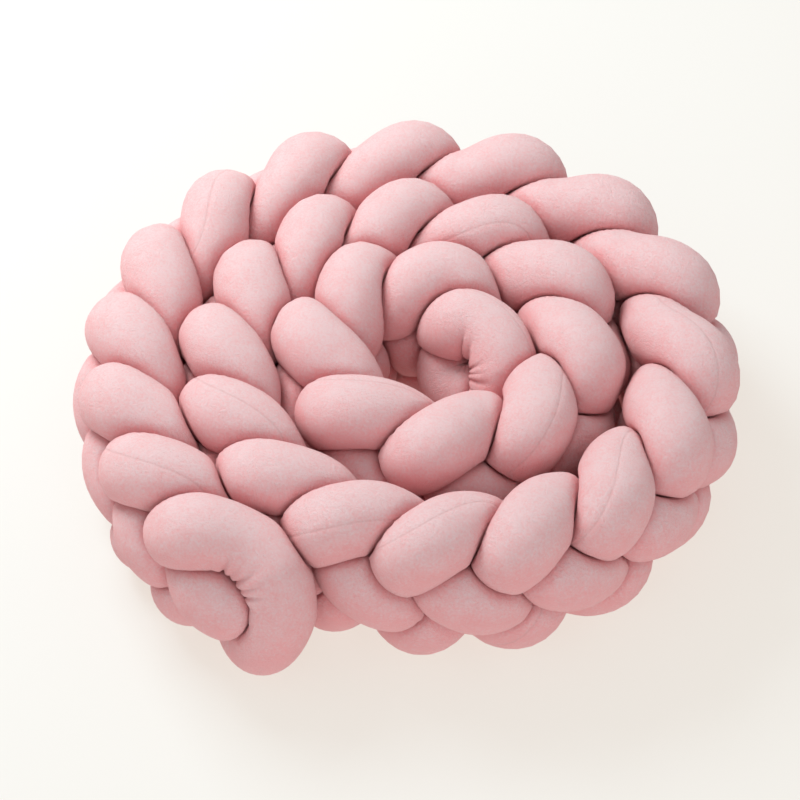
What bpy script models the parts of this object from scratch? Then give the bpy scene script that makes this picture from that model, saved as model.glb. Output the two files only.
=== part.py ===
"""Braided crib bumper: two stuffed velvet tubes, each sewn into a closed loop, plaited as a flat
four-strand braid that stands on edge and is coiled into a spiral."""

import bpy
import numpy as np
from mathutils.bvhtree import BVHTree

# Driving dimensions, in metres
TUBE = 0.0631                # diameter of a stuffed tube that lies free
RISE = 0.0566                # the top and bottom rows lie this far above and below the middle row
SWING = 0.0208               # a strand swings this far out of the braid's middle surface and back
SWING_SHIFT = 0.22           # share of the swing that moves from the braid's edges to its middle row
PEAK = 0.11                  # sharpens a strand's rise and fall: the share of a wave three times as quick
LIFT = 0.11                  # a strand stays this share of the rise higher after its crest than before it
SKEW = 0.66                  # the bottom row trails the top row by this many crests
SKEW_AT_ENDS = (0.5, 0.0)    # share of that left at the outer and at the inner end
SEAT = 0.0275                # height of the bottom row's centreline, under half a tube: it is pressed flat
WRAP_REACH = (0.053, 0.066)  # how far the wrapping tube's end bends run past the first and the last crest
WRAP_LEAN = 0.014            # sideways lean of that bend, out below and in above
HAIRPIN_REACH = (0.028, 0.040)  # how far the inner tube's hairpins run past them
HAIRPIN_LEAN = 0.006
WIDEST = 0.60 * TUBE         # a squeezed tube bulges to this radius at most
SEAM_GAP = 0.0022            # clearance between faces that lie against each other
CREASE = 0.10 * TUBE         # rounding where a tube's free side turns into a pressed face

COIL_AXIS = (0.0198, -0.0036)     # the spiral's middle in plan, which centres the whole coil on the origin
START_ANGLE = np.radians(-130.9)  # where the outer end lies, seen from above
# The coil, from the outer end to just past the inner one: (turns, radius, top crests passed)
COIL = (
    (0.00, 0.2904, 1.00),
    (0.20, 0.2771, 5.19),
    (0.40, 0.2512, 8.54),
    (0.66, 0.2443, 12.38),
    (1.00, 0.2092, 18.00),
    (1.33, 0.1743, 22.70),
    (1.66, 0.1384, 26.29),
    (2.00, 0.1001, 29.09),
    (2.26, 0.1050, 31.00),
    (2.38, 0.0890, 32.00),
    (2.53, 0.0590, 33.00),
    (2.61, 0.0540, 33.80),
)
FIRST_CREST, LAST_CREST = 1, 33

# Fineness
SIDES = 12
RING_STEP = 0.42 * TUBE
FINE_STEP = 0.06 * TUBE
EASE_LENGTH = 0.20 * TUBE
NEIGHBOURS = 200
CLEAR = 0.00025              # every face stays this far inside the face that is tested for crossings
PULL = 0.97                  # how much of its radius a crossing corner keeps, each time

VELVET = (0.55, 0.22, 0.245, 1.0)


def spline(x, knots, values):
    """Natural cubic spline through the knots, at x."""
    knots, values = np.asarray(knots, float), np.asarray(values, float)
    h = np.diff(knots)
    n = len(knots)
    system, right = np.eye(n), np.zeros(n)
    for i in range(1, n - 1):
        system[i, i - 1 : i + 2] = h[i - 1], 2 * (h[i - 1] + h[i]), h[i]
        right[i] = 6 * ((values[i + 1] - values[i]) / h[i] - (values[i] - values[i - 1]) / h[i - 1])
    bend = np.linalg.solve(system, right)
    i = np.clip(np.searchsorted(knots, x) - 1, 0, n - 2)
    a, b = knots[i + 1] - x, x - knots[i]
    return (
        (bend[i] * a**3 + bend[i + 1] * b**3) / (6 * h[i])
        + (values[i] / h[i] - bend[i] * h[i] / 6) * a
        + (values[i + 1] / h[i] - bend[i + 1] * h[i] / 6) * b
    )


class Coil:
    """The braid's middle line in plan, known at each crest number."""

    def __init__(self):
        turns, radii, crests = np.array(COIL).T
        fine = np.linspace(turns[0] - 0.08, turns[-1] + 0.02, 4000)
        angle = START_ANGLE - 2 * np.pi * fine
        radius = spline(fine, turns, radii)
        self.crests = spline(fine, turns, crests)
        self.points = COIL_AXIS + np.stack([radius * np.cos(angle), radius * np.sin(angle)], 1)
        along = np.gradient(self.points, axis=0)
        self.along = along / np.linalg.norm(along, axis=1)[:, None]

    def at(self, crest):
        """Plan point, direction of travel and outward direction at these crest numbers."""
        point, along = (
            np.stack([np.interp(crest, self.crests, axis) for axis in field.T], -1)
            for field in (self.points, self.along)
        )
        along = along / np.linalg.norm(along, axis=-1)[..., None]
        return point, along, np.stack([-along[..., 1], along[..., 0]], -1)

    def place(self, crest, ahead, out, up):
        """Space points from offsets ahead, outward and upward of the middle line at a crest number."""
        lost = sum(
            (1 - share) * np.exp(-(((crest - end) / 1.6) ** 2))
            for share, end in zip(SKEW_AT_ENDS, (FIRST_CREST, LAST_CREST))
        )
        skew = SKEW * (1 - lost)
        point, along, outward = self.at(crest - skew * (1 - np.asarray(up) / RISE) / 2)
        plan = point + np.asarray(ahead)[..., None] * along + np.asarray(out)[..., None] * outward
        return np.concatenate([plan, (SEAT + RISE + np.asarray(up))[..., None]], -1)


def strand(coil, number, crests):
    """Centreline of one of the four strands: it rises and falls once while it swings in and out three times."""
    phase = 0.5 * np.pi * (1 + crests - number)
    out = SWING * (np.cos(3 * phase) + SWING_SHIFT * np.cos(phase))
    up = RISE * ((np.sin(phase) - PEAK * np.sin(3 * phase)) / (1 + PEAK) + LIFT * np.cos(3 * phase))
    return coil.place(crests, np.zeros_like(crests), out, up)


def end_bend(coil, inner_end, wraps):
    """A tube's turn round the braid's end: the wrapping tube turns upright, the inner one flat inside it."""
    crest, side = (LAST_CREST, 1) if inner_end else (FIRST_CREST, -1)
    ahead = side * (WRAP_REACH if wraps else HAIRPIN_REACH)[inner_end]
    turn = np.linspace(0, np.pi, 42)[1:-1]
    at = np.full_like(turn, crest)
    if wraps:
        return coil.place(
            at, ahead * np.sin(turn), WRAP_LEAN * np.sin(2 * turn), side * RISE * np.cos(turn)
        )
    depth, lift = SWING * (1 + SWING_SHIFT), RISE * LIFT
    return coil.place(
        at,
        ahead * np.sin(turn),
        -side * depth * np.cos(turn),
        -side * lift * np.cos(turn) - HAIRPIN_LEAN * np.sin(2 * turn),
    )


def resampled(points, step):
    """The closed line at equal steps, as near to step as divides it."""
    closed = np.vstack([points, points[:1]])
    way = np.concatenate([[0], np.cumsum(np.linalg.norm(np.diff(closed, axis=0), axis=1))])
    count = round(way[-1] / step)
    at = np.arange(count) * way[-1] / count
    return np.stack([np.interp(at, way, axis) for axis in closed.T], 1), way[-1]


def eased(points, reach):
    """The closed line with its kinks rounded over a length of reach samples."""
    offsets = np.arange(-4 * reach, 4 * reach + 1)
    weights = np.exp(-0.5 * (offsets / reach) ** 2)
    weights /= weights.sum()
    return sum(w * np.roll(points, -int(o), axis=0) for w, o in zip(weights, offsets))


def loop_line(coil, wraps):
    """Centreline of one whole tube: out along one strand, round the end, back along another."""
    there, back = (1, 3) if wraps else (0, 2)
    crests = np.linspace(FIRST_CREST, LAST_CREST, 40 * (LAST_CREST - FIRST_CREST) + 1)
    points = np.vstack([
        strand(coil, there, crests),
        end_bend(coil, True, wraps),
        strand(coil, back, crests[::-1]),
        end_bend(coil, False, wraps),
    ])
    fine, _ = resampled(points, FINE_STEP)
    fine = eased(fine, round(EASE_LENGTH / FINE_STEP))
    return resampled(fine, FINE_STEP)


def carried_frames(line):
    """Cross directions carried along the closed line without twist, the last bit of turn spread evenly."""
    along = np.roll(line, -1, axis=0) - np.roll(line, 1, axis=0)
    along /= np.linalg.norm(along, axis=1)[:, None]
    side = np.zeros_like(along)
    start = np.cross(along[0], [0.0, 0.0, 1.0])
    side[0] = start / np.linalg.norm(start)
    for i in range(1, len(line)):
        carried = side[i - 1] - along[i] * (side[i - 1] @ along[i])
        side[i] = carried / np.linalg.norm(carried)
    last = side[-1] - along[0] * (side[-1] @ along[0])
    slip = np.arctan2(np.cross(side[0], last) @ along[0], side[0] @ last)
    turn = -slip * np.arange(len(line)) / len(line)
    over = np.cross(along, side)
    side = np.cos(turn)[:, None] * side + np.sin(turn)[:, None] * over
    return side, np.cross(along, side)


def soft_least(a, b, rounding):
    return 0.5 * (a + b - np.sqrt((a - b) ** 2 + rounding**2))


def pressed_rings(lines, lengths, which):
    """Rings of one tube: round where it lies free, flat where it meets another stretch or the floor."""
    line = lines[which]
    count = round(lengths[which] / RING_STEP)
    picks = np.round(np.arange(count) * len(line) / count).astype(int)
    side, over = carried_frames(line)
    centre, side, over = line[picks], side[picks], over[picks]

    around = (np.arange(SIDES) + 0.5) * 2 * np.pi / SIDES
    ways = np.cos(around)[:, None] * side[:, None] + np.sin(around)[:, None] * over[:, None]

    everything = np.vstack(lines)
    owner = np.repeat(np.arange(len(lines)), [len(each) for each in lines])
    place = np.concatenate([np.arange(len(each)) for each in lines])
    apart = np.abs(place - picks[:, None])
    near_self = (owner == which) & (np.minimum(apart, len(line) - apart) * FINE_STEP < 0.25 * TUBE)
    away = np.linalg.norm(everything - centre[:, None], axis=2)
    away[near_self] = np.inf
    nearest = np.argpartition(away, NEIGHBOURS, axis=1)[:, :NEIGHBOURS]
    toward = everything[nearest] - centre[:, None]
    reach2 = np.minimum(np.take_along_axis(away, nearest, 1), 9.0) ** 2
    facing = np.einsum("rsk,rnk->rsn", ways, toward)
    meets = np.where(facing > 1e-6, reach2[:, None] / (2 * np.maximum(facing, 1e-6)), np.inf)
    limit = np.minimum(meets.min(axis=2) - SEAM_GAP / 2, 3 * TUBE)
    down = np.maximum(-ways[..., 2], 1e-6)
    floor = centre[:, None, 2] / down

    radius = np.full((count, 1), TUBE / 2)
    for _ in range(6):
        out = np.minimum(soft_least(radius, limit, CREASE), floor)
        points = centre[:, None] + out[..., None] * ways
        girth = np.linalg.norm(points - np.roll(points, 1, axis=1), axis=2).sum(axis=1)
        radius *= (np.pi * TUBE / girth)[:, None] ** 0.8
        radius = np.clip((np.roll(radius, 1) + 2 * radius + np.roll(radius, -1)) / 4, TUBE / 2, WIDEST)
    return centre, ways, out


def tube_faces(count, first=0):
    """Triangles of a closed tube of count rings whose corners are numbered from first."""
    ring, corner = np.meshgrid(np.arange(count), np.arange(SIDES), indexing="ij")
    after, beside = (ring + 1) % count, (corner + 1) % SIDES
    a, b = ring * SIDES + corner, ring * SIDES + beside
    c, d = after * SIDES + beside, after * SIDES + corner
    return first + np.concatenate([np.stack([a, b, c], -1).reshape(-1, 3), np.stack([a, c, d], -1).reshape(-1, 3)])


def drawn_apart(tubes):
    """Pulls corners toward their tube's middle, a little at a time, until no two faces cross."""
    sizes = [len(centre) for centre, _, _ in tubes]
    centre, ways, out = (np.concatenate(parts) for parts in zip(*tubes))
    firsts = np.cumsum([0] + sizes[:-1]) * SIDES
    faces = np.vstack([tube_faces(size, first) for size, first in zip(sizes, firsts)])
    for _ in range(80):
        tested = (centre[:, None] + (out + CLEAR)[..., None] * ways).reshape(-1, 3)
        tree = BVHTree.FromPolygons(tested.tolist(), faces.tolist(), all_triangles=True)
        pairs = np.array(tree.overlap(tree), int).reshape(-1, 2)
        one, other = faces[pairs[:, 0]], faces[pairs[:, 1]]
        crossing = ~(one[:, :, None] == other[:, None, :]).any(axis=(1, 2))
        if not crossing.any():
            break
        pulled = np.unique(one[crossing])
        keep = np.ones(out.size)
        keep[pulled] = PULL
        out = out * keep.reshape(out.shape)
    points = centre[:, None] + out[..., None] * ways
    points[..., 2][points[..., 2] < 1e-6] = 0.0
    return np.split(points, np.cumsum(sizes)[:-1])


def add_tube(name, rings):
    """A closed tube through the rings, with its own velvet."""
    mesh = bpy.data.meshes.new(name)
    mesh.from_pydata(rings.reshape(-1, 3).tolist(), [], tube_faces(len(rings)).tolist())
    mesh.shade_smooth()
    material = bpy.data.materials.new(name + "_velvet")
    material.use_nodes = True
    shader = material.node_tree.nodes["Principled BSDF"]
    shader.inputs["Base Color"].default_value = VELVET
    shader.inputs["Roughness"].default_value = 0.85
    shader.inputs["Metallic"].default_value = 0.0
    mesh.materials.append(material)
    tube = bpy.data.objects.new(name, mesh)
    bpy.context.scene.collection.objects.link(tube)
    return tube


def main():
    for old in list(bpy.data.objects):
        bpy.data.objects.remove(old, do_unlink=True)
    coil = Coil()
    lines, lengths = zip(*(loop_line(coil, wraps) for wraps in (True, False)))
    pressed = [pressed_rings(lines, lengths, which) for which in range(2)]
    for name, rings in zip(("wrapping_tube", "inner_tube"), drawn_apart(pressed)):
        add_tube(name, rings)


main()
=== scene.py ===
"""Plaited crib bumper: two stuffed velvet tubes, each sewn into a closed loop, braided flat in four
strands, stood on edge and coiled into a spiral.

Each tube is one closed velvet skin, drawn again over its solid with the creases, gathers and seam
that sewing and stuffing give it. The studio is a plain pale floor under soft light from the back
left, with a weaker light in front.
"""

from __future__ import annotations

import logging
from dataclasses import dataclass, field
from enum import Enum

import bpy
import numpy as np
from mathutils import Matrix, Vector

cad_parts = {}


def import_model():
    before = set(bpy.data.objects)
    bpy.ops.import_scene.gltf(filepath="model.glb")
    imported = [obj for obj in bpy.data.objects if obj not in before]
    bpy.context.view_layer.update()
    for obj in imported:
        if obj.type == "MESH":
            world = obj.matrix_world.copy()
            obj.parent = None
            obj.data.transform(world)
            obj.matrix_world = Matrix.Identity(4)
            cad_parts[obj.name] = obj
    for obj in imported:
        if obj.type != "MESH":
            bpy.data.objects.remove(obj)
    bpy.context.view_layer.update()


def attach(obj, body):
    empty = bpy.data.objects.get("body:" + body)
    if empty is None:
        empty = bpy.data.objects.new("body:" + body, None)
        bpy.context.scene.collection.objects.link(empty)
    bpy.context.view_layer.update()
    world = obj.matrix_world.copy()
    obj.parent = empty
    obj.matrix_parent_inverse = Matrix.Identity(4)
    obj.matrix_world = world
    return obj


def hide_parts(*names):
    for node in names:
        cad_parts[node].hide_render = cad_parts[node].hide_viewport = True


log = logging.getLogger("crib_bumper")

Array = np.ndarray
Colour = tuple[float, float, float]
Socket = bpy.types.NodeSocket
DAYLIGHT: Colour = (1.0, 0.985, 0.96)
OUT_OF_REACH = 9.0  # metres, farther than any two places of the object are apart
TINY = 1e-6  # least value of a divisor, so that it is never zero


# ---------------------------------------------------------------- the braid


@dataclass(frozen=True)
class BraidSizes:
    """Sizes of the braid, in metres unless said otherwise.

    Attributes:
        tube: Diameter of a stuffed tube that lies free.
        rise: Height of the top row above the middle row, and of that above the bottom row.
        swing: How far a strand swings out of the braid's middle surface and back.
        swing_shift: Share of the swing that moves from the braid's edges to its middle row.
        peak: Share of a wave three times as quick that sharpens a strand's rise and fall.
        lift: Share of the rise by which a strand lies higher after its crest and lower before it.
        skew: Crests by which the bottom row trails the top row.
        skew_at_ends: Share of the skew left at the outer and at the inner end.
        skew_fade: Crests over which the skew changes toward an end.
        seat: Height of the bottom row's middle line.
        wrap_reach: How far the wrapping tube's end bends run past the first and the last crest.
        wrap_lean: Sideways lean of that bend.
        hairpin_reach: How far the inner tube's hairpins run past them.
        hairpin_lean: Lean of the hairpin, up and down.
        easing: Width of the bell-shaped average that eases the loops' kinks, in tube diameters.
        widest: Largest radius that a squeezed tube bulges to.
        seam_gap: Clearance between two faces that lie against each other.
        crease: Rounding where a tube's free side turns into a pressed face.
    """

    tube: float = 0.0631
    rise: float = 0.0566
    swing: float = 0.0208
    swing_shift: float = 0.22
    peak: float = 0.11
    lift: float = 0.11
    skew: float = 0.66
    skew_at_ends: tuple[float, float] = (0.5, 0.0)
    skew_fade: float = 1.6
    seat: float = 0.0275
    wrap_reach: tuple[float, float] = (0.053, 0.066)
    wrap_lean: float = 0.014
    hairpin_reach: tuple[float, float] = (0.028, 0.040)
    hairpin_lean: float = 0.006
    easing: float = 0.2
    widest: float = 0.0379
    seam_gap: float = 0.0005
    crease: float = 0.0050


class Loop(Enum):
    """The two sewn loops, each with its CAD node and the strands it runs out and back along."""

    WRAPPING = ("wrapping_tube", 1, 3)
    INNER = ("inner_tube", 0, 2)

    @property
    def node(self) -> str:
        """Name of the solid, and of its material slot."""
        return self.value[0]

    @property
    def strands(self) -> tuple[int, int]:
        """Numbers of the strand that runs inward and of the one that comes back."""
        return self.value[1], self.value[2]


def spline(x: Array, knots: Array, values: Array) -> Array:
    """Natural cubic spline: cubics whose slopes and bends agree at the knots, straight at the ends.

    Args:
        x: Where the curve is wanted.
        knots: Rising positions of the known values.
        values: The known values.

    Returns:
        The curve's value at each x.
    """
    h = np.diff(knots)
    n = len(knots)
    system = np.zeros((n, n))
    system[0, 0] = system[-1, -1] = 1
    inner = np.arange(1, n - 1)
    system[inner, inner - 1] = h[:-1]
    system[inner, inner] = 2 * (h[:-1] + h[1:])
    system[inner, inner + 1] = h[1:]
    right = np.zeros(n)
    right[1:-1] = 6 * np.diff(np.diff(values) / h)
    bend = np.linalg.solve(system, right)
    i = np.clip(np.searchsorted(knots, x) - 1, 0, n - 2)
    a, b = knots[i + 1] - x, x - knots[i]
    return (
        (bend[i] * a**3 + bend[i + 1] * b**3) / (6 * h[i])
        + (values[i] / h[i] - bend[i] * h[i] / 6) * a
        + (values[i + 1] / h[i] - bend[i + 1] * h[i] / 6) * b
    )


@dataclass
class Coil:
    """The braid's middle line in plan: an uneven spiral, wound clockwise from its outer end.

    Attributes:
        axis: Middle of the spiral in plan.
        start_angle: Where the outer end lies, in degrees from +X.
        rows: (turns from the outer end, radius, top crests passed), a row for each known place.
        carried_on: Turns that the line goes on before the first row and past the last one.
        samples: Points on the line.
        first_crest: Crest at the outer end.
        last_crest: Crest at the inner end.
        crests: Crest number at each point of the line.
        points: Those points in plan.
        along: Direction of travel at each of them.
    """

    axis: tuple[float, float] = (0.0198, -0.0036)
    start_angle: float = -130.9
    rows: tuple[tuple[float, float, float], ...] = (
        (0.00, 0.2904, 1.00),
        (0.20, 0.2771, 5.19),
        (0.40, 0.2512, 8.54),
        (0.66, 0.2443, 12.38),
        (1.00, 0.2092, 18.00),
        (1.33, 0.1743, 22.70),
        (1.66, 0.1384, 26.29),
        (2.00, 0.1001, 29.09),
        (2.26, 0.1050, 31.00),
        (2.38, 0.0890, 32.00),
        (2.53, 0.0590, 33.00),
        (2.61, 0.0540, 33.80),
    )
    carried_on: tuple[float, float] = (0.08, 0.02)
    samples: int = 4000
    first_crest: int = 1
    last_crest: int = 33
    crests: Array = field(init=False, repr=False)
    points: Array = field(init=False, repr=False)
    along: Array = field(init=False, repr=False)

    def __post_init__(self) -> None:
        """Works the spiral out: radius and crest number are splines of the turns gone round."""
        turns, radii, crests = np.array(self.rows).T
        fine = np.linspace(turns[0] - self.carried_on[0], turns[-1] + self.carried_on[1], self.samples)
        angle = np.radians(self.start_angle) - 2 * np.pi * fine
        radius = spline(fine, turns, radii)[:, None]
        self.crests = spline(fine, turns, crests)
        self.points = np.array(self.axis) + radius * np.stack([np.cos(angle), np.sin(angle)], 1)
        along = np.gradient(self.points, axis=0)
        self.along = along / np.linalg.norm(along, axis=1)[:, None]

    def at(self, crest: Array) -> tuple[Array, Array, Array]:
        """Where the line is at these crest numbers, and which way it runs there.

        Args:
            crest: Crest numbers, whole or not.

        Returns:
            Plan points, directions of travel and outward directions.
        """
        point = np.stack([np.interp(crest, self.crests, axis) for axis in self.points.T], -1)
        along = np.stack([np.interp(crest, self.crests, axis) for axis in self.along.T], -1)
        along = along / np.linalg.norm(along, axis=-1)[..., None]
        return point, along, np.stack([-along[..., 1], along[..., 0]], -1)


@dataclass
class Braid:
    """Four strands plaited over the coil, joined in pairs into two closed loops.

    Attributes:
        sizes: The braid's sizes.
        coil: The line that it follows.
        step: Spacing of the samples on each loop's middle line.
        crest_points: Points a crest that a strand is first laid through.
        bend_points: Points that an end bend is laid through.
        lines: Middle line of each loop.
    """

    sizes: BraidSizes = field(default_factory=BraidSizes)
    coil: Coil = field(default_factory=Coil)
    step: float = 0.0038
    crest_points: int = 40
    bend_points: int = 40
    lines: dict[Loop, Array] = field(init=False, repr=False)

    def __post_init__(self) -> None:
        """Lays both loops."""
        self.lines = {loop: self.loop_line(loop) for loop in Loop}

    def place(self, crest: Array, ahead: Array | float, out: Array, up: Array) -> Array:
        """Space points from offsets off the coil's line: lower points look it up a little further back.

        Args:
            crest: Crest numbers.
            ahead: Offsets in the direction of travel, one or one for each.
            out: Offsets outward.
            up: Offsets above the middle row.

        Returns:
            Points, one for each crest number.
        """
        s, coil = self.sizes, self.coil
        ends = zip(s.skew_at_ends, (coil.first_crest, coil.last_crest))
        lost = sum((1 - share) * np.exp(-(((crest - end) / s.skew_fade) ** 2)) for share, end in ends)
        point, along, outward = coil.at(crest - s.skew * (1 - lost) * (1 - up / s.rise) / 2)
        plan = point + np.broadcast_to(ahead, crest.shape)[:, None] * along + out[:, None] * outward
        return np.concatenate([plan, (s.seat + s.rise + up)[:, None]], 1)

    def strand(self, number: int, crest: Array) -> Array:
        """Middle line of a strand: with phase a quarter turn per crest, its height is the sine of the phase
        sharpened by waves three times as quick, and its swing the cosine of three times it with a share of
        the cosine.

        Args:
            number: Which of the four strands.
            crest: Crest numbers to give points at.

        Returns:
            The points.
        """
        s = self.sizes
        phase = 0.5 * np.pi * (1 + crest - number)
        out = s.swing * (np.cos(3 * phase) + s.swing_shift * np.cos(phase))
        climb = (np.sin(phase) - s.peak * np.sin(3 * phase)) / (1 + s.peak)
        return self.place(crest, 0.0, out, s.rise * (climb + s.lift * np.cos(3 * phase)))

    def end_bend(self, loop: Loop, inner_end: bool) -> Array:
        """A loop's half turn at the braid's end: the wrapping tube upright, the inner one flat inside it.

        Args:
            loop: Which loop bends.
            inner_end: Whether it is the end inside the coil.

        Returns:
            Points of the bend, without its two ends.
        """
        s = self.sizes
        side = 1 if inner_end else -1
        turn = np.linspace(0, np.pi, self.bend_points + 2)[1:-1]
        at = np.full_like(turn, self.coil.last_crest if inner_end else self.coil.first_crest)
        if loop is Loop.WRAPPING:
            reach = s.wrap_reach[inner_end]
            out = s.wrap_lean * np.sin(2 * turn)
            up = side * s.rise * np.cos(turn)
        else:
            reach = s.hairpin_reach[inner_end]
            out = -side * s.swing * (1 + s.swing_shift) * np.cos(turn)
            up = -side * s.rise * s.lift * np.cos(turn) - s.hairpin_lean * np.sin(2 * turn)
        return self.place(at, side * reach * np.sin(turn), out, up)

    def loop_line(self, loop: Loop) -> Array:
        """Middle line of one whole loop at equal steps, its kinks eased by a bell-shaped average.

        Args:
            loop: Which loop.

        Returns:
            Points of the closed line.
        """
        coil, (there, back) = self.coil, loop.strands
        count = self.crest_points * (coil.last_crest - coil.first_crest) + 1
        crest = np.linspace(coil.first_crest, coil.last_crest, count)
        points = np.vstack([
            self.strand(there, crest),
            self.end_bend(loop, True),
            self.strand(back, crest[::-1]),
            self.end_bend(loop, False),
        ])
        fine = self.resampled(points, self.step)
        reach = self.sizes.easing * self.sizes.tube / self.step
        offsets = np.arange(-round(4 * reach), round(4 * reach) + 1)
        weights = np.exp(-0.5 * (offsets / reach) ** 2)
        weights /= weights.sum()
        eased = sum(w * np.roll(fine, -int(o), axis=0) for w, o in zip(weights, offsets))
        return self.resampled(eased, self.step)

    @staticmethod
    def resampled(points: Array, step: float) -> Array:
        """A closed line at equal steps.

        Args:
            points: Points along the line, the last one joined to the first.
            step: Wanted length of a step, changed a little so that whole steps fit.

        Returns:
            The new points.
        """
        closed = np.vstack([points, points[:1]])
        way = np.concatenate([[0], np.cumsum(np.linalg.norm(np.diff(closed, axis=0), axis=1))])
        count = round(way[-1] / step)
        at = np.arange(count) * way[-1] / count
        return np.stack([np.interp(at, way, axis) for axis in closed.T], 1)


# ---------------------------------------------------------------- the tubes


@dataclass(frozen=True)
class SeamMark:
    """A place where a tube's sewn seam lies: on a strand, at a crest number, leaning from the top outward.

    Attributes:
        strand: Strand number.
        crest: Crest number.
        lean: Degrees from straight up toward the coil's outside.
    """

    strand: int
    crest: float
    lean: float


@dataclass(frozen=True)
class Ripple:
    """Smooth unevenness made of plane waves of random phase, laid over the cloth of a tube.

    Attributes:
        lengths: Shortest and longest wave along the tube, in metres.
        turns: Most waves round the tube.
        seed: Start of the random numbers.
        waves: Number of waves.
        spread: Divisor that brings their sum to about unit height, near the root of their number.
    """

    lengths: tuple[float, float]
    turns: int
    seed: int
    waves: int = 8
    spread: float = 2.8

    def height(self, whole: float, along: Array, around: Array) -> Array:
        """Its height over a closed tube, on which it closes on itself.

        Args:
            whole: Length of the loop.
            along: Distance along the loop of each ring, as a share of the whole.
            around: Angle of each corner.

        Returns:
            The height at each corner.
        """
        rng = np.random.default_rng(self.seed)
        height = np.zeros((len(along), len(around)))
        for _ in range(self.waves):
            count = round(whole / rng.uniform(*self.lengths))
            phase = 2 * np.pi * (count * along[:, None] + rng.uniform())
            height += np.sin(phase + rng.integers(-self.turns, self.turns + 1) * around[None])
        return height / self.spread


@dataclass(frozen=True)
class Gathers:
    """Small folds on the inside of the end bends, where the cloth is longer than its way.

    Attributes:
        depth: Depth of the deepest fold.
        spacing: Distance between folds along the tube's middle.
        reach: Distance from the middle of an end bend over which they fade, in tube diameters.
        onset: Cosine of the angle from the inside of the bend at which folds begin.
        full: Cosine at which they are deepest.
        tightest: Tube's radius over the bend's at which they are deepest.
        sharpness: How narrow a fold is against its spacing.
        wander: Ripple that moves them along the tube.
        wander_by: How far it moves them, in radians of their spacing.
        variety: Ripple that makes them unlike in depth.
        usual: Share of the depth of a usual fold.
        vary_by: How much variety adds to that share or takes from it.
        limits: Least and greatest share.
    """

    depth: float
    spacing: float = 0.0142
    reach: float = 1.35
    onset: float = -0.30
    full: float = 0.55
    tightest: float = 0.5
    sharpness: float = 2.5
    wander: Ripple = Ripple((0.03, 0.09), 1, 10)
    wander_by: float = 1.3
    variety: Ripple = Ripple((0.02, 0.06), 2, 12)
    usual: float = 0.8
    vary_by: float = 0.35
    limits: tuple[float, float] = (0.15, 1.3)


@dataclass
class Rings:
    """The rings of corners that a skin is drawn through.

    Attributes:
        places: Sample number of each ring on the loop's middle line.
        share: The same as a share of the whole loop.
        centre: Middle of each ring.
        bend: How the middle line bends there: toward the inside, as long as one over the radius.
        angles: Angle of each corner, counted from the seam.
        ways: Direction of each corner from the middle.
    """

    places: Array
    share: Array
    centre: Array
    bend: Array
    angles: Array
    ways: Array


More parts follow.
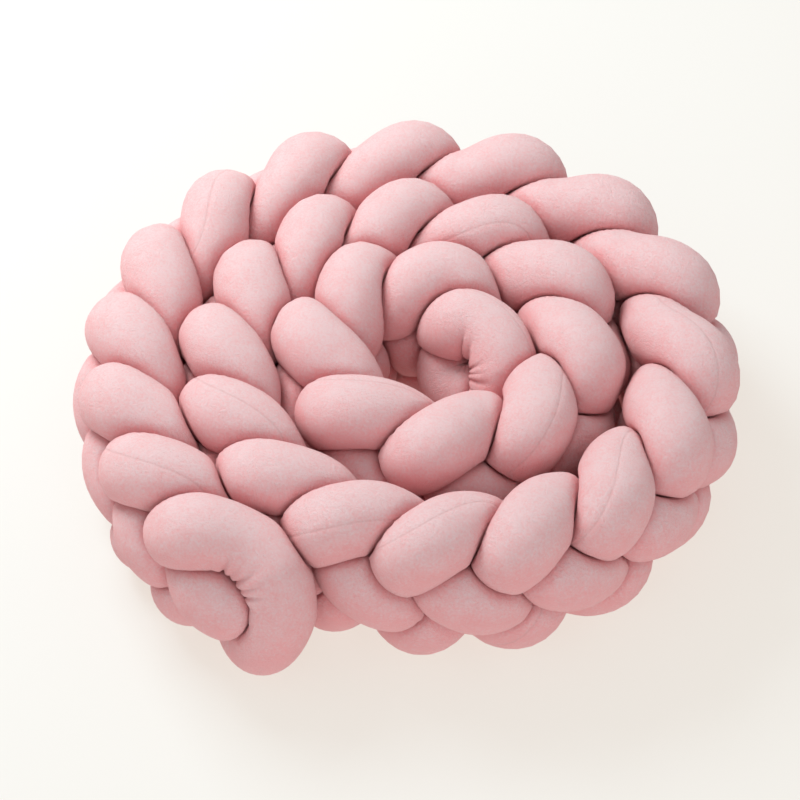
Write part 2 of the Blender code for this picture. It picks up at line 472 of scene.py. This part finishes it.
@dataclass
class Tube:
    """One stuffed tube: round where it lies free, flat where it meets another stretch or the floor.

    Attributes:
        braid: The braid that it is part of.
        loop: Which of the two loops it is.
        seam_marks: Where its seam shows, and where it is turned away.
        gathers: Folds in its end bends.
        sides: Corners round the tube.
        beside_seam: Angles from the seam of the corners that draw its dip, in degrees.
        from_seam: Angle from the seam at which the even corners begin, in degrees.
        ring_step: Mean spacing of the rings.
        bend_fineness: How many times closer the rings lie in the end bends.
        bend_middle: How far past the braid's end the middle of an end bend lies, in tube diameters.
        bend_reach: Distance from there over which the rings grow apart again, in tube diameters.
        own_stretch: Distance along the tube that doesn't press on itself, in tube diameters.
        neighbours: How many samples near a ring are looked at for what presses on it.
        swelling: Unevenness of the stuffing.
        swell: Height of that unevenness.
        swell_free: Clearance at which it is whole, in tube diameters.
        seam_depth: Depth of the dip along the seam.
        seam_width: Half width of that dip.
        painted_light_clearance: Clearance at which the painted highlight on an upward face is whole, in
            tube diameters; nearer, it fades to painted shade.
    """

    braid: Braid
    loop: Loop
    seam_marks: tuple[SeamMark, ...]
    gathers: Gathers
    sides: int = 44
    beside_seam: tuple[float, ...] = (2.0, 4.5, 8.0, 13.0)
    from_seam: float = 20.0
    ring_step: float = 0.0053
    bend_fineness: float = 3.0
    bend_middle: float = 0.45
    bend_reach: float = 1.7
    own_stretch: float = 0.25
    neighbours: int = 220
    swelling: Ripple = Ripple((0.05, 0.14), 3, 3)
    swell: float = 0.0009
    swell_free: float = 0.25
    seam_depth: float = 0.0004
    seam_width: float = 0.0016
    painted_light_clearance: float = 0.18

    @property
    def line(self) -> Array:
        """Middle line of the loop."""
        return self.braid.lines[self.loop]

    @property
    def length(self) -> float:
        """Length of the closed loop."""
        return len(self.line) * self.braid.step

    def near_ends(self, points: Array, reach: float) -> Array:
        """How near points lie to the middle of either end bend, from 1 there to 0.

        Args:
            points: The points.
            reach: Distance at which it has fallen to about a third, in tube diameters.

        Returns:
            The nearness of each point.
        """
        coil, tube = self.braid.coil, self.braid.sizes.tube
        crests = np.array([coil.first_crest, coil.last_crest], float)
        ahead = np.array([-self.bend_middle, self.bend_middle]) * tube
        middles = self.braid.place(crests, ahead, np.zeros(2), np.zeros(2))
        away = np.linalg.norm(points[:, None] - middles, axis=2).min(axis=1)
        return np.exp(-((away / (reach * tube)) ** 4))

    def ring_places(self) -> Array:
        """Positions of the rings along the loop, closer together in the two end bends.

        Returns:
            The positions as sample numbers, whole or not.
        """
        density = 1 + (self.bend_fineness - 1) * self.near_ends(self.line, self.bend_reach)
        way = np.concatenate([[0], np.cumsum(density)])
        count = round(way[-1] * self.braid.step / self.ring_step)
        return np.interp(np.arange(count) * way[-1] / count, way, np.arange(len(self.line) + 1))

    def carried_frame(self) -> tuple[Array, Array]:
        """Two cross directions at each sample, carried on from sample to sample without twist.

        The little that is left over where the loop closes is spread evenly.

        Returns:
            The directions side and over, a row for each sample.
        """
        line = self.line
        along = np.roll(line, -1, axis=0) - np.roll(line, 1, axis=0)
        along /= np.linalg.norm(along, axis=1)[:, None]
        side = np.zeros_like(along)
        carried = np.cross(along[0], [0.0, 0.0, 1.0])
        for i, way in enumerate(along):
            carried = carried - way * (carried @ way)
            carried /= np.linalg.norm(carried)
            side[i] = carried
        last = carried - along[0] * (carried @ along[0])
        slip = np.arctan2(np.cross(side[0], last) @ along[0], side[0] @ last)
        turn = (-slip * np.arange(len(line)) / len(line))[:, None]
        side = np.cos(turn) * side + np.sin(turn) * np.cross(along, side)
        return side, np.cross(along, side)

    def seam_angle(self, side: Array, over: Array) -> Array:
        """Angle of the seam round the tube at each sample, eased from mark to mark the shorter way round.

        Args:
            side: Cross direction that angles are counted from.
            over: Cross direction at a right angle to it.

        Returns:
            The angle at each sample, in radians.
        """
        samples = np.arange(len(self.line))
        found = []
        for mark in self.seam_marks:
            crest = np.array([mark.crest])
            i = int(np.linalg.norm(self.line - self.braid.strand(mark.strand, crest), axis=1).argmin())
            outward = np.append(self.braid.coil.at(crest)[2][0], 0.0)
            lean = np.radians(mark.lean)
            way = np.cos(lean) * np.array([0.0, 0.0, 1.0]) + np.sin(lean) * outward
            found.append((i, np.arctan2(way @ over[i], way @ side[i])))
        at, angle = (np.array(v) for v in zip(*sorted(found)))
        steps = (np.diff(angle, append=angle[0]) + np.pi) % (2 * np.pi) - np.pi
        lengths = np.diff(at, append=at[0] + len(samples))
        knots = np.append(at, at[0] + len(samples))
        turned = angle[0] + np.concatenate([[0.0], np.cumsum(steps)])
        where = at[0] + (samples - at[0]) % len(samples)
        i = np.clip(np.searchsorted(knots, where, side="right") - 1, 0, len(steps) - 1)
        part = (where - knots[i]) / lengths[i]
        eased = part * part * (3 - 2 * part)
        whole_turns = np.where(samples < at[0], steps.sum(), 0.0)
        return turned[i] + (turned[i + 1] - turned[i]) * eased - whole_turns

    def corner_angles(self) -> Array:
        """Angles of a ring's corners, counted from the seam, closer together beside it.

        Returns:
            The angles in radians, from minus half a turn to just short of half a turn.
        """
        beside = np.radians(self.beside_seam)
        rest = np.linspace(np.radians(self.from_seam), np.pi, self.sides // 2 - len(beside))
        half = np.concatenate([beside, rest])
        return np.concatenate([-half[::-1], [0.0], half[:-1]])

    def rings(self) -> Rings:
        """Lays the rings along the loop, their corners counted from the seam.

        Returns:
            The rings.
        """
        line, n = self.line, len(self.line)
        places = self.ring_places()
        side, over = self.carried_frame()
        seam = self.seam_angle(side, over)
        bend = (np.roll(line, -1, axis=0) + np.roll(line, 1, axis=0) - 2 * line) / self.braid.step**2
        samples = np.arange(n + 1)
        seam = np.append(seam, seam[0] + 2 * np.pi * np.round((seam[-1] - seam[0]) / (2 * np.pi)))
        centre, side, over, bend = (
            np.stack([np.interp(places, samples, axis) for axis in given[samples % n].T], 1)
            for given in (line, side, over, bend)
        )
        angles = self.corner_angles()
        turned = np.interp(places, samples, seam)[:, None] + angles
        ways = np.cos(turned)[..., None] * side[:, None] + np.sin(turned)[..., None] * over[:, None]
        ways /= np.linalg.norm(ways, axis=2)[..., None]
        return Rings(places, places / n, centre, bend, angles, ways)

    def reach(self, rings: Rings, batches: int = 12, farthest: float = 3.0) -> Array:
        """How far each direction goes before it meets the plane half way to another stretch of either tube.

        The plane half way to a sample at offset w is met by direction d at |w|^2 / (2 d.w).

        Args:
            rings: The rings.
            batches: How many batches the rings are worked through in.
            farthest: Greatest reach that matters, in tube diameters.

        Returns:
            The distance in each direction, short of the meeting plane by half the clearance.
        """
        braid, sizes = self.braid, self.braid.sizes
        everything = np.vstack([braid.lines[loop] for loop in Loop])
        first = 0 if self.loop is Loop.WRAPPING else len(braid.lines[Loop.WRAPPING])
        n = len(self.line)
        own = np.full(len(everything), np.inf)  # the other tube's samples are never next to this one's
        own[first : first + n] = np.arange(n)
        limit = np.empty(rings.ways.shape[:2])
        for rows in np.array_split(np.arange(len(rings.centre)), batches):
            apart = np.abs(own - rings.places[rows, None])
            near_self = np.minimum(apart, np.abs(n - apart)) * braid.step < self.own_stretch * sizes.tube
            away = np.linalg.norm(everything - rings.centre[rows, None], axis=2)
            away[near_self] = OUT_OF_REACH
            nearest = np.argpartition(away, self.neighbours, axis=1)[:, : self.neighbours]
            toward = everything[nearest] - rings.centre[rows, None]
            squared = np.take_along_axis(away, nearest, 1) ** 2
            facing = np.maximum(rings.ways[rows] @ toward.transpose(0, 2, 1), TINY)
            limit[rows] = (squared[:, None] / (2 * facing)).min(axis=2)
        return np.minimum(limit - sizes.seam_gap / 2, farthest * sizes.tube)

    def pressed_radius(
        self, limit: Array, ways: Array, rounds: int = 6, haste: float = 0.8, evened: int = 3
    ) -> Array:
        """Distance of the skin from the tube's middle: a full round, eased over to where it is pressed.

        The round radius of each ring grows until the skin's girth is that of the free tube.

        Args:
            limit: Reach in each direction.
            ways: Directions round each ring.
            rounds: How often the girth is measured and the radius changed.
            haste: Share of the missing girth that a round makes up.
            evened: How many rings away the radius is averaged with, on both sides.

        Returns:
            The distance in each direction.
        """
        sizes = self.braid.sizes
        radius = np.full((len(limit), 1), sizes.tube / 2)
        out = limit
        for _ in range(rounds):
            out = 0.5 * (radius + limit - np.sqrt((radius - limit) ** 2 + sizes.crease**2))
            points = out[..., None] * ways
            girth = np.linalg.norm(points - np.roll(points, 1, axis=1), axis=2).sum(axis=1)
            radius *= (np.pi * sizes.tube / girth)[:, None] ** haste
            radius = (np.roll(radius, evened, axis=0) + 2 * radius + np.roll(radius, -evened, axis=0)) / 4
            radius = np.clip(radius, sizes.tube / 2, sizes.widest)
        return out

    def fold_depth(self, rings: Rings) -> Array:
        """Depth of the gathers: a row of narrow waves along the inside of the bend, as deep as it is tight.

        Args:
            rings: The rings.

        Returns:
            The depth at each corner.
        """
        g, radius = self.gathers, 0.5 * self.braid.sizes.tube
        bent = np.linalg.norm(rings.bend, axis=1)[:, None]
        inward = np.einsum("rc,rsc->rs", rings.bend, rings.ways) / np.maximum(bent, TINY)
        folded = np.clip((inward - g.onset) / (g.full - g.onset), 0, 1)
        folded = folded * folded * (3 - 2 * folded) * np.clip(bent * radius / g.tightest, 0, 1) ** 2
        count = round(self.length / g.spacing)
        wander = g.wander_by * g.wander.height(self.length, rings.share, rings.angles)
        phase = 2 * np.pi * count * rings.share[:, None] + wander
        uneven = g.usual + g.vary_by * g.variety.height(self.length, rings.share, rings.angles)
        depth = g.depth * self.near_ends(rings.centre, g.reach)[:, None]
        return depth * folded * np.clip(uneven, *g.limits) * (0.5 + 0.5 * np.cos(phase)) ** g.sharpness

    def skin(self) -> tuple[Rings, Array, Array]:
        """Corners of the skin: the pressed radius with its swelling, less the gathers and the seam's dip.

        Returns:
            The rings, the points (rings, corners, 3), and the share of painted light at each corner, from 0
            as painted shade where the cloth is pressed or faces down to 1 as a painted highlight on a free
            upward face.
        """
        tube = self.braid.sizes.tube
        rings = self.rings()
        floor = rings.centre[:, None, 2] / np.maximum(-rings.ways[..., 2], TINY)
        limit = self.reach(rings)
        out = np.minimum(self.pressed_radius(limit, rings.ways), floor)
        free = np.clip((limit - out) / (self.swell_free * tube), 0, 1)
        out = out + free * self.swell * self.swelling.height(self.length, rings.share, rings.angles)
        out = out - self.fold_depth(rings)
        out = out - self.seam_depth * np.exp(-((rings.angles * 0.5 * tube / self.seam_width) ** 2))
        points = rings.centre[:, None] + np.minimum(out, floor)[..., None] * rings.ways
        points[..., 2] = np.maximum(points[..., 2], 0.0)
        # Painted light: a painted highlight on free upward faces, fading to painted shade where pressed or
        # facing down.
        painted_light = np.clip((limit - out) / (self.painted_light_clearance * tube), 0, 1) * np.clip(rings.ways[..., 2], 0, 1)
        return rings, points, painted_light

    def build(self) -> bpy.types.Object:
        """The tube's skin as one closed mesh, with its share of painted light at each corner and a map of
        the cloth.

        The map is the distance along the tube by the distance round it from the seam, in metres.

        Returns:
            The object, at the origin.
        """
        rings, points, painted_light = self.skin()
        count, corners = points.shape[:2]
        ring, corner = np.meshgrid(np.arange(count), np.arange(corners), indexing="ij")
        after, beside = (ring + 1) % count, (corner + 1) % corners
        faces = np.stack(
            [
                ring * corners + corner,
                ring * corners + beside,
                after * corners + beside,
                after * corners + corner,
            ],
            -1,
        ).reshape(-1, 4)
        mesh = bpy.data.meshes.new(self.loop.node + "_skin")
        mesh.vertices.add(count * corners)
        mesh.vertices.foreach_set("co", points.astype(np.float32).ravel())
        mesh.loops.add(faces.size)
        mesh.loops.foreach_set("vertex_index", faces.astype(np.int32).ravel())
        mesh.polygons.add(len(faces))
        mesh.polygons.foreach_set("loop_start", np.arange(0, faces.size, 4, dtype=np.int32))
        mesh.update(calc_edges=True)
        mesh.shade_smooth()

        distance = np.append(rings.places, len(self.line)) * self.braid.step
        round_it = np.append(rings.angles, np.pi) * 0.5 * self.braid.sizes.tube
        span = np.stack([ring, ring, ring + 1, ring + 1], -1).reshape(-1, 4)
        turn = np.stack([corner, corner + 1, corner + 1, corner], -1).reshape(-1, 4)
        cloth = np.stack([distance[span], round_it[turn]], -1)
        layer = mesh.uv_layers.new(name="cloth")
        layer.uv.foreach_set("vector", cloth.astype(np.float32).ravel())
        # Share of painted light at each corner, which the velvet's colour is mixed by.
        painted_light_layer = mesh.attributes.new("painted_light", "FLOAT", "POINT")
        painted_light_layer.data.foreach_set("value", painted_light.astype(np.float32).ravel())
        piece = bpy.data.objects.new(self.loop.node + "_skin", mesh)
        bpy.context.scene.collection.objects.link(piece)
        return piece


# ---------------------------------------------------------------- finishes


@dataclass(frozen=True)
class Cloud:
    """A cloud pattern in the pile.

    Attributes:
        scale: Waves a metre.
        detail: Number of finer clouds laid over it.
        roughness: How strong those are.
        span: Values that count as the bottom and the top of the pattern.
    """

    scale: float
    detail: float
    roughness: float
    span: tuple[float, float]


class Weave:
    """A material's shader and short ways to add nodes to it."""

    def __init__(self, name: str) -> None:
        """Starts a material.

        Args:
            name: Name of the material.
        """
        self.material = bpy.data.materials.new(name)
        self.material.use_nodes = True
        self.tree = self.material.node_tree
        self.shader = self.tree.nodes["Principled BSDF"]
        self.place = self.tree.nodes.new("ShaderNodeTexCoord").outputs["Object"]

    def join(self, source: Socket, target: Socket) -> None:
        """Leads one socket into another."""
        self.tree.links.new(source, target)

    def cloud(self, look: Cloud) -> Socket:
        """A cloud pattern on the piece's own coordinates.

        Args:
            look: Its sizes.

        Returns:
            Its value.
        """
        node = self.tree.nodes.new("ShaderNodeTexNoise")
        node.inputs["Scale"].default_value = look.scale
        node.inputs["Detail"].default_value = look.detail
        node.inputs["Roughness"].default_value = look.roughness
        self.join(self.place, node.inputs["Vector"])
        return node.outputs["Fac"]

    def ranged(self, value: Socket, given: tuple[float, float], wanted: tuple[float, float]) -> Socket:
        """Maps one span of a value to another, held at both ends.

        Args:
            value: The value.
            given: The span that it runs over.
            wanted: The span that it is to run over.

        Returns:
            The mapped value.
        """
        node = self.tree.nodes.new("ShaderNodeMapRange")
        self.join(value, node.inputs["Value"])
        for socket, number in zip(("From Min", "From Max", "To Min", "To Max"), (*given, *wanted)):
            node.inputs[socket].default_value = number
        return node.outputs["Result"]

    def summed(self, first: Socket, second: Socket, held: bool = False) -> Socket:
        """Adds two values.

        Args:
            first: One value.
            second: The other.
            held: Whether the sum is held between 0 and 1.

        Returns:
            The sum.
        """
        node = self.tree.nodes.new("ShaderNodeMath")
        node.use_clamp = held
        self.join(first, node.inputs[0])
        self.join(second, node.inputs[1])
        return node.outputs["Value"]

    def mixed(self, share: Socket, first: Socket | Colour, second: Colour) -> Socket:
        """Mixes a second colour into a first one.

        Args:
            share: Share of the second colour.
            first: The first colour, plain or worked out.
            second: The second one.

        Returns:
            The mixed colour.
        """
        node = self.tree.nodes.new("ShaderNodeMix")
        node.data_type = "RGBA"
        self.join(share, node.inputs["Factor"])
        if isinstance(first, Socket):
            self.join(first, node.inputs["A"])
        else:
            node.inputs["A"].default_value = (*first, 1.0)
        node.inputs["B"].default_value = (*second, 1.0)
        return node.outputs["Result"]

    def from_seam(self) -> Socket:
        """Distance from the seam over the cloth, from the piece's map.

        Returns:
            The distance in metres.
        """
        cloth = self.tree.nodes.new("ShaderNodeUVMap")
        cloth.uv_map = "cloth"
        parts = self.tree.nodes.new("ShaderNodeSeparateXYZ")
        self.join(cloth.outputs["UV"], parts.inputs["Vector"])
        distance = self.tree.nodes.new("ShaderNodeMath")
        distance.operation = "ABSOLUTE"
        self.join(parts.outputs["Y"], distance.inputs[0])
        return distance.outputs["Value"]

    def painted_light(self) -> Socket:
        """Share of painted light, as the piece's corners hold it: painted highlight on free upward faces,
        painted shade where pressed or facing down.

        Returns:
            The share, from 0 to 1.
        """
        node = self.tree.nodes.new("ShaderNodeAttribute")
        node.attribute_name = "painted_light"
        return node.outputs["Fac"]

    def bump(
        self, height: Socket, strength: float, depth: float, under: Socket | None = None
    ) -> bpy.types.Node:
        """A bump of the surface.

        Args:
            height: Its height.
            strength: Its strength.
            depth: Depth that a height of one stands for.
            under: Normal of another bump that it lies on top of.

        Returns:
            The bump's node.
        """
        node = self.tree.nodes.new("ShaderNodeBump")
        node.inputs["Strength"].default_value = strength
        node.inputs["Distance"].default_value = depth
        self.join(height, node.inputs["Height"])
        if under is not None:
            self.join(under, node.inputs["Normal"])
        return node


@dataclass(frozen=True)
class Velvet:
    """Short, dense velvet: matt, painted highlight on free tops, painted shade in creases, a light rim
    where it turns away.

    Attributes:
        dark_pile_and_painted_shade: Colour of the darker tufts, and of the painted shade where the cloth is
            pressed or faces down.
        pale_pile_and_painted_light: Colour of the paler tufts, and of the painted highlight on free upward
            faces.
        seam: Colour of the painted shade in the bottom of the seam's groove.
        painted_light_by: Share of the pale colour where the painted highlight is whole.
        seam_painted_shade_by: Share of that painted shade in the seam's middle.
        seam_line: Distances from the seam's middle over which its line fades, in metres.
        seam_strength: Strength of the seam's groove.
        seam_groove: Depth of that groove.
        brushed: Broad clouds where the pile lies another way.
        brushed_by: How much they add to the share of the pale colour or take from it.
        tufts: Fine clouds of the pile's tufts.
        tufts_by: How much those do.
        grain: The finest clouds, which only roughen the pile.
        grain_height: Height of the grain against the tufts.
        nap_strength: Strength of the pile's roughness.
        nap_depth: Depth of that roughness.
        roughness: How matt the cloth is.
        gloss: Level of its plain reflection.
        sheen: Strength of the light rim that the pile gives.
        sheen_roughness: Width of that rim.
        sheen_tint: Colour of that rim.
    """

    dark_pile_and_painted_shade: Colour = (0.92, 0.41, 0.43)
    pale_pile_and_painted_light: Colour = (0.91, 0.66, 0.69)
    seam: Colour = (0.70, 0.36, 0.37)
    painted_light_by: float = 0.9
    seam_painted_shade_by: float = 0.30
    seam_line: tuple[float, float] = (0.0003, 0.0012)
    seam_strength: float = 0.35
    seam_groove: float = 0.0005
    brushed: Cloud = Cloud(60.0, 3.0, 0.6, (0.35, 0.65))
    brushed_by: float = 0.12
    tufts: Cloud = Cloud(420.0, 4.0, 0.7, (0.3, 0.7))
    tufts_by: float = 0.36
    grain: Cloud = Cloud(1500.0, 2.0, 0.6, (0.3, 0.7))
    grain_height: float = 0.6
    nap_strength: float = 0.8
    nap_depth: float = 0.0010
    roughness: float = 0.85
    gloss: float = 0.25
    sheen: float = 0.45
    sheen_roughness: float = 0.40
    sheen_tint: Colour = (1.0, 0.94, 0.94)

    def build(self, name: str) -> bpy.types.Material:
        """The velvet's material.

        Args:
            name: Name of the material.

        Returns:
            The material.
        """
        weave = Weave(name)
        brushed, tufts, grain = (weave.cloud(look) for look in (self.brushed, self.tufts, self.grain))
        seam = weave.ranged(weave.from_seam(), self.seam_line, (1.0, 0.0))
        self.colour(weave, brushed, tufts, seam)
        self.surface(weave, tufts, grain, seam)
        shader = weave.shader
        shader.inputs["Roughness"].default_value = self.roughness
        shader.inputs["Specular IOR Level"].default_value = self.gloss
        shader.inputs["Sheen Weight"].default_value = self.sheen
        shader.inputs["Sheen Roughness"].default_value = self.sheen_roughness
        shader.inputs["Sheen Tint"].default_value = (*self.sheen_tint, 1.0)
        return weave.material

    def colour(self, weave: Weave, brushed: Socket, tufts: Socket, seam: Socket) -> None:
        """Colours the pile: dark to pale by the painted light and the clouds, with painted shade along the
        seam's line over it.

        Args:
            weave: The material.
            brushed: Pattern of the broad clouds.
            tufts: Pattern of the tufts.
            seam: How near the seam is, 1 in its middle.
        """
        clouds = weave.summed(
            weave.ranged(brushed, self.brushed.span, (-self.brushed_by, self.brushed_by)),
            weave.ranged(tufts, self.tufts.span, (-self.tufts_by, self.tufts_by)),
        )
        # Painted light: paler on free upward faces, painted shade where the cloth is pressed or faces down.
        painted_light = weave.ranged(weave.painted_light(), (0.0, 1.0), (0.0, self.painted_light_by))
        pile = weave.mixed(weave.summed(clouds, painted_light, held=True), self.dark_pile_and_painted_shade, self.pale_pile_and_painted_light)
        # Painted shade along the bottom of the seam's groove.
        line = weave.ranged(seam, (0.0, 1.0), (0.0, self.seam_painted_shade_by))
        weave.join(weave.mixed(line, pile, self.seam), weave.shader.inputs["Base Color"])

    def surface(self, weave: Weave, tufts: Socket, grain: Socket, seam: Socket) -> None:
        """Roughens the pile and sinks the seam's groove into it.

        Args:
            weave: The material.
            tufts: Pattern of the tufts.
            grain: Pattern of the grain.
            seam: How near the seam is, 1 in its middle.
        """
        height = weave.summed(
            weave.ranged(tufts, self.tufts.span, (0.0, 1.0)),
            weave.ranged(grain, self.grain.span, (0.0, self.grain_height)),
        )
        nap = weave.bump(height, self.nap_strength, self.nap_depth)
        groove = weave.bump(seam, self.seam_strength, self.seam_groove, nap.outputs["Normal"])
        groove.invert = True
        weave.join(groove.outputs["Normal"], weave.shader.inputs["Normal"])


# ---------------------------------------------------------------- the studio


@dataclass(frozen=True)
class SoftBox:
    """A large soft light that looks at the middle of the coil.

    Attributes:
        name: Name of the light.
        place: Where it hangs.
        width: Its side.
        power: Its power in watts.
        colour: Its colour.
        aim: Point that it looks at.
    """

    name: str
    place: tuple[float, float, float]
    width: float
    power: float
    colour: Colour = DAYLIGHT
    aim: tuple[float, float, float] = (0.0, 0.0, 0.08)

    def build(self) -> bpy.types.Object:
        """Hangs the light.

        Returns:
            The light's object.
        """
        light = bpy.data.lights.new(self.name, "AREA")
        light.energy = self.power
        light.size = self.width
        light.color = self.colour
        lamp = bpy.data.objects.new(self.name, light)
        lamp.location = self.place
        lamp.rotation_euler = (Vector(self.aim) - Vector(self.place)).to_track_quat("-Z", "Y").to_euler()
        bpy.context.scene.collection.objects.link(lamp)
        return lamp


@dataclass(frozen=True)
class Camera:
    """The camera in front of the coil, at the photograph's angle.

    Attributes:
        target: Point that it looks at.
        elevation: Its height above the horizon, in degrees.
        distance: Its distance from the target.
        lens: Focal length in millimetres.
        sensor: Width of the sensor in millimetres.
    """

    target: tuple[float, float, float] = (-0.0074, -0.0261, 0.0929)
    elevation: float = 50.27
    distance: float = 2.3415
    lens: float = 108.77
    sensor: float = 36.0

    def build(self) -> bpy.types.Object:
        """Places the camera.

        Returns:
            The camera's object.
        """
        up = np.radians(self.elevation)
        camera = bpy.data.cameras.new("camera")
        camera.sensor_width = self.sensor
        camera.lens = self.lens
        eye = bpy.data.objects.new("camera", camera)
        back = Vector((0.0, -float(np.cos(up)), float(np.sin(up))))
        eye.location = Vector(self.target) + self.distance * back
        eye.rotation_euler = (-back).to_track_quat("-Z", "Y").to_euler()
        bpy.context.scene.collection.objects.link(eye)
        return eye


@dataclass
class Studio:
    """A plain pale floor under soft light, and the camera.

    Attributes:
        floor_half: Half the side of the floor.
        floor_paper: Colour that the floor throws the room's light back with.
        floor_glow: Light that it gives off itself, which keeps shadows on it weak and warm.
        floor_roughness: How matt it is.
        floor_gloss: Level of its plain reflection.
        sky: Strength of the even light from all round.
        lights: The soft boxes: a window back left, and a weaker light in front.
        camera: The camera.
    """

    floor_half: float = 6.0
    floor_paper: Colour = (0.22, 0.275, 0.31)
    floor_glow: Colour = (0.690, 0.620, 0.545)
    floor_roughness: float = 0.95
    floor_gloss: float = 0.1
    sky: float = 0.60
    lights: tuple[SoftBox, ...] = (
        SoftBox("window", (-1.05, 1.05, 1.5), 1.0, 40.0),
        SoftBox("fill", (0.5, -2.6, 0.9), 1.6, 15.0),
    )
    camera: Camera = Camera()

    def lay_floor(self) -> None:
        """Lays the floor."""
        half = self.floor_half
        corners = [(x * half, y * half, 0.0) for x, y in ((-1, -1), (1, -1), (1, 1), (-1, 1))]
        mesh = bpy.data.meshes.new("floor")
        mesh.from_pydata(corners, [], [(0, 1, 2, 3)])
        floor = bpy.data.objects.new("floor", mesh)
        bpy.context.scene.collection.objects.link(floor)
        paper = bpy.data.materials.new("floor_paper")
        paper.use_nodes = True
        shader = paper.node_tree.nodes["Principled BSDF"]
        shader.inputs["Base Color"].default_value = (*self.floor_paper, 1.0)
        shader.inputs["Emission Color"].default_value = (*self.floor_glow, 1.0)
        shader.inputs["Emission Strength"].default_value = 1.0
        shader.inputs["Roughness"].default_value = self.floor_roughness
        shader.inputs["Specular IOR Level"].default_value = self.floor_gloss
        mesh.materials.append(paper)

    def light_room(self) -> None:
        """Lights the room evenly and hangs the soft boxes."""
        world = bpy.data.worlds.new("room")
        world.use_nodes = True
        room = world.node_tree.nodes["Background"]
        room.inputs["Color"].default_value = (*DAYLIGHT, 1.0)
        room.inputs["Strength"].default_value = self.sky
        bpy.context.scene.world = world
        for light in self.lights:
            light.build()

    def build(self) -> None:
        """Lays the floor, lights it and sets the camera."""
        scene = bpy.context.scene
        self.lay_floor()
        self.light_room()
        scene.camera = self.camera.build()
        scene.view_settings.view_transform = "Standard"
        scene.view_settings.look = "None"


# ---------------------------------------------------------------- the whole thing


# Strand, crest number and lean of each place where a seam shows.
SEAMS_ON_TOP = {
    Loop.WRAPPING: (
        SeamMark(1, 17.15, 47),
        SeamMark(3, 18.95, -1),
        SeamMark(3, 26.85, 31),
        SeamMark(1, 28.90, -22),
        SeamMark(1, 33.30, 31),
    ),
    Loop.INNER: (
        SeamMark(2, 2.05, 25),
        SeamMark(2, 5.95, 7),
        SeamMark(0, 12.20, 15),
        SeamMark(2, 14.00, 3),
        SeamMark(0, 16.00, 0),
        SeamMark(0, 23.90, -38),
    ),
}
CRESTS_WITHOUT_SEAM = {
    Loop.WRAPPING: (1, 3, 5, 7, 9, 11, 13, 15, 21, 23, 25, 31),
    Loop.INNER: (4, 8, 10, 18, 20, 22, 26, 28, 30, 32),
}
TURNED_AWAY = 190  # lean of the seam where it lies on the underside, in degrees
DEEPEST_GATHER = {Loop.WRAPPING: 0.0036, Loop.INNER: 0.0010}


def seam_marks(loop: Loop) -> tuple[SeamMark, ...]:
    """Where a loop's seam shows on top, and the crests where it is turned away to the underside.

    Args:
        loop: One of the two loops.

    Returns:
        The marks of both kinds.
    """
    away = tuple(SeamMark(crest % 4, crest, TURNED_AWAY) for crest in CRESTS_WITHOUT_SEAM[loop])
    return SEAMS_ON_TOP[loop] + away


def main() -> None:
    """Builds the bumper and the studio round it."""
    logging.basicConfig(level=logging.INFO, format="%(name)s: %(message)s")
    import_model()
    Studio().build()
    braid = Braid()
    for loop in Loop:
        tube = Tube(braid, loop, seam_marks(loop), Gathers(DEEPEST_GATHER[loop]))
        piece = tube.build()
        piece.data.materials.append(Velvet().build(loop.node + "_velvet"))
        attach(piece, "root")
        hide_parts(loop.node)
        log.info("%s: %d faces", piece.name, len(piece.data.polygons))


if __name__ == "__main__":
    main()
